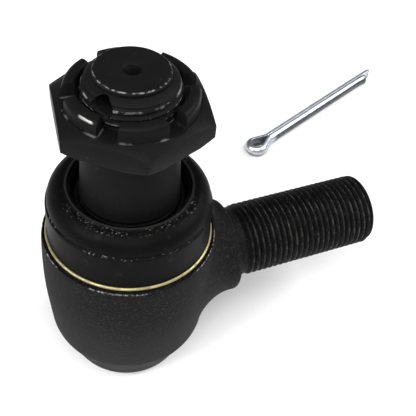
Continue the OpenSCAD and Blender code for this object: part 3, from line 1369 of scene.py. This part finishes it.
@dataclass
class EndCover:
    """Dished cover that the skirt holds in the base."""

    at: Datum
    foot_r: float = 12.0
    rim_r: float = 16.75
    wall: float = 1.9
    floor_t: float = 1.8
    dish_r: float = 7.6
    dish: float = 0.45

    def assemble(self) -> None:
        """Builds and dresses the cover."""
        high = self.at.cover_rim
        slope = (self.rim_r - self.foot_r) / (high - self.at.foot_z)
        low_in = self.foot_r + slope * (self.floor_t - self.at.foot_z) - self.wall
        outline = eased(
            [
                (0.0, self.dish),
                (self.dish_r, self.dish, 0.8),
                (self.dish_r + 0.7, 0.0, 0.8),
                (self.foot_r, 0.0, 1.0),
                (self.foot_r, self.at.foot_z, 0.3),
                (self.rim_r, high, 0.2),
                (self.rim_r - self.wall, high, 0.3),
                (low_in, self.floor_t, 0.9),
                (0.0, self.floor_t),
            ],
            5,
        )
        cover = stand_up("spun_in_cover", spun(outline))
        finish = BlackSteel("cover_coat", tone=0.009, rough=0.52)
        Fitting("socket", "cover_black", ("end_cover",)).hang(cover, finish.material())


@dataclass
class BallStud:
    """Ball stud: ball, neck, seat for the boot's lip, taper, thread and pilot."""

    at: Datum
    ball_r: float = 14.0
    neck_r: float = 8.5
    neck_top: float = 48.45
    lip_z: float = 49.85
    lip_r: float = 10.215
    flare_z: float = 52.95
    taper_low_r: float = 10.89
    taper_high_r: float = 10.01
    thread_r: float = 9.9
    pitch: float = 1.5
    pilot_r: float = 7.4
    lead_r: float = 9.35
    lead_drop: float = 3.6
    hole_r: float = 2.0
    hole_drop: float = 3.2
    hole_turn: float = 215.0
    dimple_r: float = 1.9

    def outline(self) -> list[tuple[float, float]]:
        """Outline of the stud, upwards.

        Returns:
            Radii and heights.
        """
        top, ball = self.at.stud_top, self.at.ball_z
        flat = math.degrees(math.asin((self.at.stud_base - ball) / self.ball_r))
        leave = math.degrees(math.acos((self.neck_r + 0.25) / self.ball_r))
        core = self.thread_r - 0.6 * self.pitch - 0.3
        lead = top - 2.2
        return [
            (0.0, self.at.stud_base),
            *curve(0.0, ball, self.ball_r, self.ball_r, flat, leave, 40),
            *eased(
                [
                    (self.neck_r + 0.2, ball + 11.2),
                    (self.neck_r, ball + 12.4, 0.8),
                    (self.neck_r, self.neck_top, 0.8),
                    (self.lip_r, self.lip_z, 0.3),
                    (self.lip_r, self.flare_z, 0.3),
                    (self.taper_low_r, self.flare_z + 0.5, 0.4),
                    (self.taper_high_r, self.at.nut_z - 1.3, 0.3),
                    (core, self.at.nut_z - 0.6),
                    (core, lead - 0.3),
                    (self.lead_r - 0.25, lead - 0.05),
                    (self.lead_r, lead + 0.12, 0.12),
                    (self.lead_r - 0.65, lead + 0.62, 0.3),
                    (self.pilot_r + 0.42, top - 1.12, 0.1),
                    (self.pilot_r - 0.02, top - 1.02, 0.06),
                    (self.pilot_r + 0.3, top - 0.84, 0.08),
                    (self.pilot_r + 0.33, top - 0.36, 0.1),
                    (self.pilot_r, top, 0.12),
                    (self.dimple_r + 0.2, top, 0.2),
                    (self.dimple_r - 0.8, top - 0.75, 0.5),
                    (0.0, top - 0.95),
                ],
                4,
            ),
        ]

    def thread_limit(self, height: float) -> float:
        """Largest radius of the thread at a height: it narrows under the lead."""
        return self.thread_r - max(0.0, height - (self.at.stud_top - self.lead_drop)) * LEAD_FALL

    def drill(self) -> bmesh.types.BMesh:
        """Cutter for the cross hole, wider at both ends for its countersinks.

        Returns:
            The cutter.
        """
        reach, sink, flare = 14.0, 8.35, 0.45
        side = [(self.hole_r + flare, reach), (self.hole_r + flare, sink + 0.9)]
        side += [(self.hole_r, sink + 0.35)]
        back = [(r, -h) for r, h in reversed(side)]
        bm = spun([(0.0, reach), *side, *back, (0.0, -reach)], 48)
        lay_along_x(bm, self.at.stud_top - self.hole_drop)
        turn(bm, self.hole_turn)
        return bm

    def build(self) -> bpy.types.Object:
        """Builds the stud.

        Returns:
            The finished mesh as an object, in millimetres.
        """
        obj = stand_up("tapered_ball_stud", spun(filled_in(self.outline(), 2.0), 144))
        low, high = self.at.nut_z - 1.6, self.at.stud_top - 2.15
        rod = Thread(self.thread_r, self.pitch, low, high).rod(self.thread_limit)
        combine(obj, rod, Join.ADD)
        combine(obj, self.drill(), Join.CUT)
        return obj

    def assemble(self) -> None:
        """Builds and dresses the stud."""
        finish = BlackSteel(
            "stud_phosphate",
            crest_r=self.thread_r,
            crest_low=self.at.nut_z,
            crest_high=self.at.stud_top - 2.3,
            crest_fall=self.at.stud_top - self.lead_drop,
            # centre hole, painted near black as painted shade
            dimple_r=self.dimple_r,
            # rim of the end face, where the bright metal is partly a painted highlight
            face_r=self.pilot_r - 0.02,
            face_z=self.at.stud_top,
            rough=0.42,
        )
        fitting = Fitting("stud", "black_steel", ("ball_stud",), 38.0)
        fitting.hang(self.build(), finish.material())


@dataclass
class CastleNut:
    """Hexagon with a slotted castle on top."""

    at: Datum
    flats: float = 30.0
    hex_h: float = 5.4
    castle_r: float = 13.5
    trim: float = 0.7
    bore_r: float = 9.95
    mouth_r: float = 10.75
    slot_w: float = 4.2
    slot_deep: float = 3.35
    slot_corner: float = 0.75
    top_slope: float = 26.0
    heading: float = 231.0

    @property
    def corner_r(self) -> float:
        """Radius of the untrimmed corners."""
        return self.flats / math.cos(math.pi / 6) / 2

    @property
    def height(self) -> float:
        """Height of the nut over all."""
        return self.at.nut_top - self.at.nut_z

    def hexagon(self) -> bmesh.types.BMesh:
        """The six-sided blank.

        Returns:
            The blank, standing on z = 0.
        """
        bm = bmesh.new()
        bmesh.ops.create_circle(bm, cap_ends=True, segments=6, radius=self.corner_r)
        raised = bmesh.ops.extrude_face_region(bm, geom=bm.faces[:])
        moved = [g for g in raised["geom"] if isinstance(g, bmesh.types.BMVert)]
        bmesh.ops.translate(bm, verts=moved, vec=(0, 0, self.hex_h))
        settle(bm)
        return bm

    def blank(self) -> bmesh.types.BMesh:
        """Turned outline that trims the hexagon's corners on both faces.

        Returns:
            The turned shape.
        """
        corner = self.corner_r - self.trim
        beyond = corner + 1.2
        fall = (beyond - self.castle_r) * math.tan(math.radians(self.top_slope))
        return spun(
            [
                (0.0, -0.01),
                (corner - 0.9, -0.01),
                (beyond, 1.0),
                (beyond, self.hex_h - fall),
                (self.castle_r + 0.25, self.hex_h + 0.01),
                (0.0, self.hex_h + 0.01),
            ]
        )

    def castle(self) -> bmesh.types.BMesh:
        """Turned castle with its rounded top edge.

        Returns:
            The castle.
        """
        top = self.height
        return spun(
            eased(
                [
                    (0.0, self.hex_h - 1.0),
                    (self.castle_r, self.hex_h - 1.0),
                    (self.castle_r, top, 1.7),
                    (0.0, top),
                ],
                7,
            )
        )

    def bore(self) -> bmesh.types.BMesh:
        """Cutter for the bore, opened out through the castle and chamfered at both faces.

        Returns:
            The cutter.
        """
        top = self.height
        return spun(
            [
                (0.0, -1.0),
                (self.bore_r + 1.8, -1.0),
                (self.bore_r, 0.8),
                (self.bore_r, self.hex_h - 0.5),
                (self.mouth_r, self.hex_h),
                (self.mouth_r, top - 0.45),
                (self.mouth_r + 1.45, top + 1.0),
                (0.0, top + 1.0),
            ]
        )

    def slot(self, angle: float) -> bmesh.types.BMesh:
        """Cutter for a slot and the one across from it.

        Args:
            angle: Its direction, in degrees.

        Returns:
            The cutter, its lower edges rounded.
        """
        top = self.height
        bm = bmesh.new()
        bmesh.ops.create_cube(bm, size=1.0)
        long, tall = 50.0, 10.0
        bmesh.ops.scale(bm, verts=bm.verts[:], vec=(long, self.slot_w, tall))
        low = [
            e
            for e in bm.edges
            if all(v.co.z < 0 for v in e.verts) and abs(e.verts[0].co.x - e.verts[1].co.x) > 1
        ]
        round_off(bm, low, self.slot_corner, 5)
        shift(bm, z=top - self.slot_deep + tall / 2)
        turn(bm, angle)
        return bm

    def build(self) -> bpy.types.Object:
        """Builds the nut.

        Returns:
            The finished mesh as an object, in millimetres.
        """
        obj = stand_up("castle_nut_body", self.hexagon())
        combine(obj, self.blank(), Join.KEEP)
        combine(obj, self.castle(), Join.ADD)
        combine(obj, self.bore(), Join.CUT)
        for angle in (0.0, 60.0, 120.0):
            combine(obj, self.slot(angle), Join.CUT)
        soften(obj, 0.2, 24.0)
        heading = Matrix.Rotation(math.radians(self.heading), 4, "Z")
        obj.data.transform(Matrix.Translation((0, 0, self.at.nut_z)) @ heading)
        return obj

    def assemble(self) -> None:
        """Builds and dresses the nut."""
        finish = BlackSteel(
            "nut_phosphate",
            # painted highlight line where the castle meets the hexagon
            highlight_line_z=self.at.nut_z + self.hex_h,
            # painted glint on the outer top edge of one tooth
            glint_r=self.castle_r - 0.3,
            glint_z=self.at.nut_top - 0.65,
            glint_turn=211.0,
            rough=0.3,
            turned=0.4,
        )
        fitting = Fitting("stud", "black_steel", ("castle_nut",), 30.0)
        fitting.hang(self.build(), finish.material())


@dataclass
class Boot:
    """Rubber boot with its retaining ring at the foot and its lip ring."""

    at: Datum
    in_r: float = 16.66
    step_up: float = 9.5
    step_in: float = 0.35
    rim_r: float = 13.8
    funnel_r: float = 12.215
    lip_in_r: float = 10.315
    lip_out_r: float = 11.065
    lip_low: float = 49.85
    lip_high: float = 52.85
    wall: float = 1.6
    ring_gap: float = 6.0
    wire_end: float = 0.12
    hold_z: float = 45.0
    free_z: float = 50.0
    place: str = "moulded_place"

    def outline(self) -> list[tuple[float, float]]:
        """Outline of the rubber, round from the foot.

        Returns:
            Radii and heights.
        """
        foot, top, band = self.at.boot_foot, self.at.boot_top, self.at.band_r
        step = foot + self.step_up
        bow_low = step + 0.45
        bow_r = band - self.step_in
        groove = self.at.clip_wire / 2 + 0.06
        outer = curve(self.rim_r, bow_low, bow_r - self.rim_r, top - 0.1 - bow_low, 4, 78, 12)
        inner = curve(
            self.rim_r + 0.7, step, self.in_r - 1.05 - self.rim_r, top - self.wall - step, 90, 0, 10
        )
        return [
            (self.in_r, foot),
            (self.at.clip_r - groove, foot),
            *curve(self.at.clip_r, self.at.clip_z, groove, groove, 180, 90, 6),
            *eased(
                [
                    (band, self.at.clip_z + groove + 0.1),
                    (band, step - 0.15, 0.15),
                    (bow_r - 0.12, step + 0.1, 0.08),
                    (bow_r, bow_low, 0.1),
                    *outer[1:-1],
                ],
                3,
            ),
            (self.rim_r + 0.42, top - 0.4),
            *curve(self.rim_r - 0.1, top - 0.42, 0.44, 0.42, 30, 180, 8),
            *eased(
                [
                    (self.rim_r - 0.64, top - 0.72, 0.08),
                    (self.rim_r - 0.95, top - 0.6, 0.1),
                    (self.rim_r - 1.2, top - 1.15, 0.15),
                    (self.funnel_r + 0.12, top - 1.9, 0.3),
                    (self.funnel_r, self.lip_low + 0.8, 0.15),
                    (self.lip_out_r, self.lip_low + 0.8, 0.1),
                    (self.lip_out_r, self.lip_high, 0.25),
                    (self.lip_in_r, self.lip_high, 0.2),
                    (self.lip_in_r, self.lip_high - 0.6, 0.1),
                    (self.lip_in_r + 0.16, self.lip_high - 0.95, 0.1),
                    (self.lip_in_r, self.lip_high - 1.3, 0.1),
                    (self.lip_in_r + 0.16, self.lip_high - 1.65, 0.1),
                    (self.lip_in_r, self.lip_high - 2.0, 0.1),
                    (self.lip_in_r, self.lip_low, 0.2),
                    (self.funnel_r, self.lip_low - 0.5, 0.3),
                    (self.funnel_r + 0.9, self.lip_low, 0.3),
                ],
                3,
            ),
            *inner,
            (self.in_r, step - 1.2),
        ]

    def rubber(self) -> bpy.types.Object:
        """Turns the outline into the boot.

        Returns:
            The boot, in millimetres.
        """
        outline = self.outline()
        return stand_up("rubber_boot", spun(filled_in([*outline, outline[0]], 0.7), 144))

    def ring(
        self, name: str, radius: float, height: float, wire: float, gap: float, opening: float
    ) -> bpy.types.Object:
        """A round wire bent to an open ring.

        Args:
            name: The piece's name.
            radius: Radius of the wire's middle.
            height: Height of the wire's middle.
            wire: The wire's diameter.
            gap: Opening between its ends, in degrees.
            opening: Direction of the opening, in degrees.

        Returns:
            The ring, in millimetres.
        """
        bm = bmesh.new()
        bmesh.ops.create_circle(bm, cap_ends=True, segments=20, radius=wire / 2)
        turn(bm, 90.0, "X")
        shift(bm, x=radius, z=height)
        sweep(bm, everything(bm), math.radians(360 - gap), 160)
        settle(bm)
        ends = [e for e in bm.edges if e.calc_face_angle(0.0) > 1.2]
        round_off(bm, ends, self.wire_end, 2)
        turn(bm, opening + gap / 2)
        return stand_up(name, bm)

    def assemble(self) -> None:
        """Builds and dresses the boot and its two rings."""
        at = self.at
        boot = self.rubber()
        finish = MouldedRubber(
            "boot_rubber_skin",
            self.place,
            rim_z=at.boot_top,
            rim_r=self.rim_r,
            step_z=at.boot_foot + self.step_up,
        )
        Fitting("swing_seat", "boot_rubber", ("dust_boot",), 50.0).dress(boot, finish.material())
        note = boot.data.attributes.new(self.place, "FLOAT_VECTOR", "POINT")
        note.data.foreach_set("vector", [c for v in boot.data.vertices for c in v.co])
        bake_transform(boot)
        clip = self.ring("retaining_ring", at.clip_r, at.clip_z, at.clip_wire, self.ring_gap, 75.0)
        yellow = PlatedWire("ring_yellow_zinc", (0.42, 0.37, 0.19, 1.0), (0.2, 0.16, 0.085, 1.0), 0.36)
        Fitting("socket", "yellow_zinc", ("boot_clip_ring",)).hang(clip, yellow.material())
        lip = self.ring("lip_ring", at.lip_ring_r, at.lip_ring_z, at.lip_wire, 4.0, 120.0)
        dark = BlackSteel("lip_ring_phosphate", tone=0.006, rough=0.34, turned=0.2)
        Fitting("swing_lip", "black_steel", ("boot_lip_ring",)).hang(lip, dark.material())


@dataclass
class SplitPin:
    """Split pin of half-round wire: an eye, two legs side by side and cut tips."""

    at: Datum
    wire: float = 1.9
    parting: float = 0.03
    corner: float = 0.22
    tip_corner: float = 0.14
    eye_in: float = 1.9
    eye_taper: float = 20.0
    bend: float = 3.0
    tip_slant: float = 0.38
    spread: float = 0.4
    spread_from: float = 6.0
    short_leg: float = 59.2
    long_leg: float = 63.2
    heading: float = 22.6
    piece: float = 2.0
    steps_per_radian: float = 13.0

    def wire_face(self) -> bmesh.types.BMesh:
        """Half-round face at the tip of the long leg.

        Returns:
            The face, looking along +X, its flat side on y = 0.
        """
        bm = bmesh.new()
        bmesh.ops.create_circle(bm, cap_ends=True, segments=32, radius=self.wire)
        cut_off(bm, (0, self.parting, 0), (0, 1, 0), ahead=False)
        corners = [v for v in bm.verts if abs(v.co.y - self.parting) < 1e-4 and abs(v.co.x) > 1]
        round_off(bm, corners, self.corner, 3, "VERTICES")
        turn(bm, 90.0, "Y")
        shift(bm, x=self.long_leg)
        return bm

    def run_straight(
        self, bm: bmesh.types.BMesh, geom: list, distance: float, heading: float = 0.0
    ) -> list:
        """Draws the wire on along a straight line, in short pieces.

        Args:
            bm: The wire so far.
            geom: Its end.
            distance: How far, backwards if negative.
            heading: Angle of the line from the X axis, in radians.

        Returns:
            The new end.
        """
        count = max(1, round(abs(distance) / self.piece))
        step = distance / count
        for _ in range(count):
            geom = bmesh.ops.extrude_face_region(bm, geom=geom)["geom"]
            verts = [g for g in geom if isinstance(g, bmesh.types.BMVert)]
            vec = (step * math.cos(heading), step * math.sin(heading), 0)
            bmesh.ops.translate(bm, verts=verts, vec=vec)
        return geom

    def bend_round(
        self, bm: bmesh.types.BMesh, geom: list, centre: Sequence[float], angle: float
    ) -> list:
        """Bends the wire round a centre.

        Args:
            bm: The wire so far.
            geom: Its end.
            centre: The centre's x and y.
            angle: How far, in radians.

        Returns:
            The new end.
        """
        steps = max(4, round(abs(angle) * self.steps_per_radian))
        return sweep(bm, geom, angle, steps, centre=(*centre, 0))

    def wire_path(self) -> bmesh.types.BMesh:
        """Draws the wire along the long leg, round the tear-shaped eye and back.

        Returns:
            The closed wire, lying along X with the eye's centre at the origin.
        """
        bm = self.wire_face()
        taper = math.radians(self.eye_taper)
        knee = self.eye_in / math.sin(taper) + self.bend * math.tan(taper / 2)
        slope = self.eye_in / math.tan(taper) - self.bend * math.tan(taper / 2)
        geom = self.run_straight(bm, everything(bm), knee - self.long_leg)
        geom = self.bend_round(bm, geom, (knee, self.bend), -taper)
        geom = self.run_straight(bm, geom, -slope, -taper)
        geom = self.bend_round(bm, geom, (0, 0), math.pi + 2 * taper)
        geom = self.run_straight(bm, geom, slope, taper)
        geom = self.bend_round(bm, geom, (knee, -self.bend), -taper)
        self.run_straight(bm, geom, self.short_leg - knee)
        settle(bm)
        return bm

    def assemble(self) -> None:
        """Builds and dresses the pin."""
        bm = self.wire_path()
        for vert in bm.verts:
            upper = vert.co.y > 0
            tip = self.long_leg if upper else self.short_leg
            if not upper:
                spread = max(0.0, vert.co.x - self.short_leg + self.spread_from)
                vert.co.y -= self.spread * (spread / self.spread_from) ** 2
            if abs(vert.co.x - tip) < 1e-3:
                vert.co.x -= abs(vert.co.y) * self.tip_slant
        ends = [e for e in bm.edges if e.calc_face_angle(0.0) > 0.9 and e.verts[0].co.x > 50]
        round_off(bm, ends, self.tip_corner, 2)
        low = self.at.pin_low
        out = self.eye_in + self.wire
        heading = math.radians(self.heading)
        place = Vector((low.x + out, low.y + out, low.z + self.wire))
        laid = Matrix.Translation(place) @ Matrix.Rotation(heading, 4, "Z")
        bmesh.ops.transform(bm, verts=bm.verts[:], matrix=laid)
        pin = stand_up("split_pin_wire", bm)
        zinc = PinZinc(place, heading, self.wire)
        Fitting("pin", "bright_zinc", ("split_pin",), 45.0).hang(pin, zinc.material())


@dataclass
class HiddenParts:
    """Seats, spring, plate and seal inside the socket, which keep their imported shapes."""

    def assemble(self) -> None:
        """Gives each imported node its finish."""
        steel = OiledSteel().material()
        plastic = MouldedPlastic().material()
        rubber = MouldedRubber("seal_rubber_skin", "").material()
        finishes = {
            "preload_spring": steel,
            "pressure_plate": steel,
            "lower_seat": plastic,
            "upper_seat": plastic,
            "cover_seal": rubber,
        }
        for node, finish in finishes.items():
            mesh = frame["nodes"][node].data
            mesh.materials.clear()
            mesh.materials.append(finish)
            LOG.info("%s: finish %s", node, finish.name)


@dataclass
class Studio:
    """Pale floor, soft lights and the camera."""

    at: Datum
    eye: tuple[float, float, float] = (-42.56, -116.29, 174.28)
    look: tuple[float, float, float] = (0.3308, 0.6194, -0.7120)
    roll: float = 6.9
    lens: float = 69.23
    dome_r: float = 1400.0
    floor_half: float = 1500.0
    floor_drop: float = 0.05
    air: float = 0.2
    lamps: tuple[tuple[str, tuple[float, float, float], float, float], ...] = (
        ("left_box", (-0.6, -0.1, 0.5), 0.45, 5.5),
        ("right_box", (0.62, -0.12, 0.5), 0.5, 5.0),
        ("front_box", (-0.2, -0.6, 0.9), 0.9, 11.0),
    )

    def set_up(
        self, name: str, bm: bmesh.types.BMesh, finish: bpy.types.Material
    ) -> bpy.types.Object:
        """Makes a piece of the studio, which isn't part of the object.

        Args:
            name: The piece's name.
            bm: Its mesh, in millimetres.
            finish: Its material.

        Returns:
            The piece.
        """
        obj = stand_up(name, bm)
        obj.data.transform(Matrix.Scale(MM, 4))
        obj.data.materials.append(finish)
        return obj

    def floor(self) -> None:
        """Lays the paper under the part."""
        bm = bmesh.new()
        bmesh.ops.create_grid(bm, x_segments=4, y_segments=4, size=self.floor_half)
        shift(bm, z=-self.floor_drop)
        self.set_up("studio_floor", bm, StudioPaper().material())

    def backdrop(self) -> None:
        """Stands a white dome round the floor, which throws no light on the part."""
        bm = bmesh.new()
        bmesh.ops.create_uvsphere(bm, u_segments=64, v_segments=32, radius=self.dome_r)
        cut_off(bm, (0, 0, -1), Z_AXIS, ahead=False)
        bmesh.ops.reverse_faces(bm, faces=bm.faces[:])
        dome = self.set_up("studio_backdrop", bm, StudioGlow().material())
        dome.visible_diffuse = dome.visible_glossy = dome.visible_shadow = False

    def lamp(self, name: str, place: Sequence[float], size: float, power: float) -> None:
        """Hangs a soft square lamp that faces the part.

        Args:
            name: The lamp's name.
            place: Where it hangs, in metres.
            size: Its side, in metres.
            power: Its power, in watts.
        """
        data = bpy.data.lights.new(name, "AREA")
        data.shape = "SQUARE"
        data.size = size
        data.energy = power
        lamp = bpy.data.objects.new(name, data)
        aim = Vector((0.02, 0.02, self.at.ball_z * MM)) - Vector(place)
        lamp.location = place
        lamp.rotation_euler = aim.to_track_quat("-Z", "Y").to_euler()
        bpy.context.scene.collection.objects.link(lamp)

    def camera(self) -> None:
        """Sets up the camera."""
        data = bpy.data.cameras.new("camera")
        data.lens = self.lens
        data.sensor_width = 36.0
        data.clip_start, data.clip_end = 0.01, 10.0
        camera = bpy.data.objects.new("camera", data)
        ahead = Vector(self.look).normalized()
        level = ahead.cross(Vector(Z_AXIS)).normalized()
        over = level.cross(ahead)
        roll = math.radians(self.roll)
        right = level * math.cos(roll) + over * math.sin(roll)
        up = over * math.cos(roll) - level * math.sin(roll)
        turn = Matrix((right, up, -ahead)).transposed().to_4x4()
        camera.matrix_world = Matrix.Translation(Vector(self.eye) * MM) @ turn
        bpy.context.scene.collection.objects.link(camera)
        bpy.context.scene.camera = camera

    def assemble(self) -> None:
        """Sets up floor, light and camera."""
        self.floor()
        self.backdrop()
        self.camera()
        for name, place, size, power in self.lamps:
            self.lamp(name, place, size, power)
        world = bpy.data.worlds.new("studio_air")
        world.use_nodes = True
        air = world.node_tree.nodes["Background"]
        air.inputs["Color"].default_value = grey(1.0)
        air.inputs["Strength"].default_value = self.air
        bpy.context.scene.world = world
        bpy.context.scene.view_settings.view_transform = "Standard"


def main() -> None:
    """Builds every piece in order."""
    logging.basicConfig(level=logging.INFO, format="%(name)s %(message)s")
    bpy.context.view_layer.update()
    at = Datum.measure()
    assemblies = (
        Housing(at),
        EndCover(at),
        HiddenParts(),
        BallStud(at),
        CastleNut(at),
        Boot(at),
        SplitPin(at),
        Studio(at),
    )
    for assembly in assemblies:
        assembly.assemble()
        LOG.info("%s done", type(assembly).__name__)


if __name__ == "__main__":
    main()
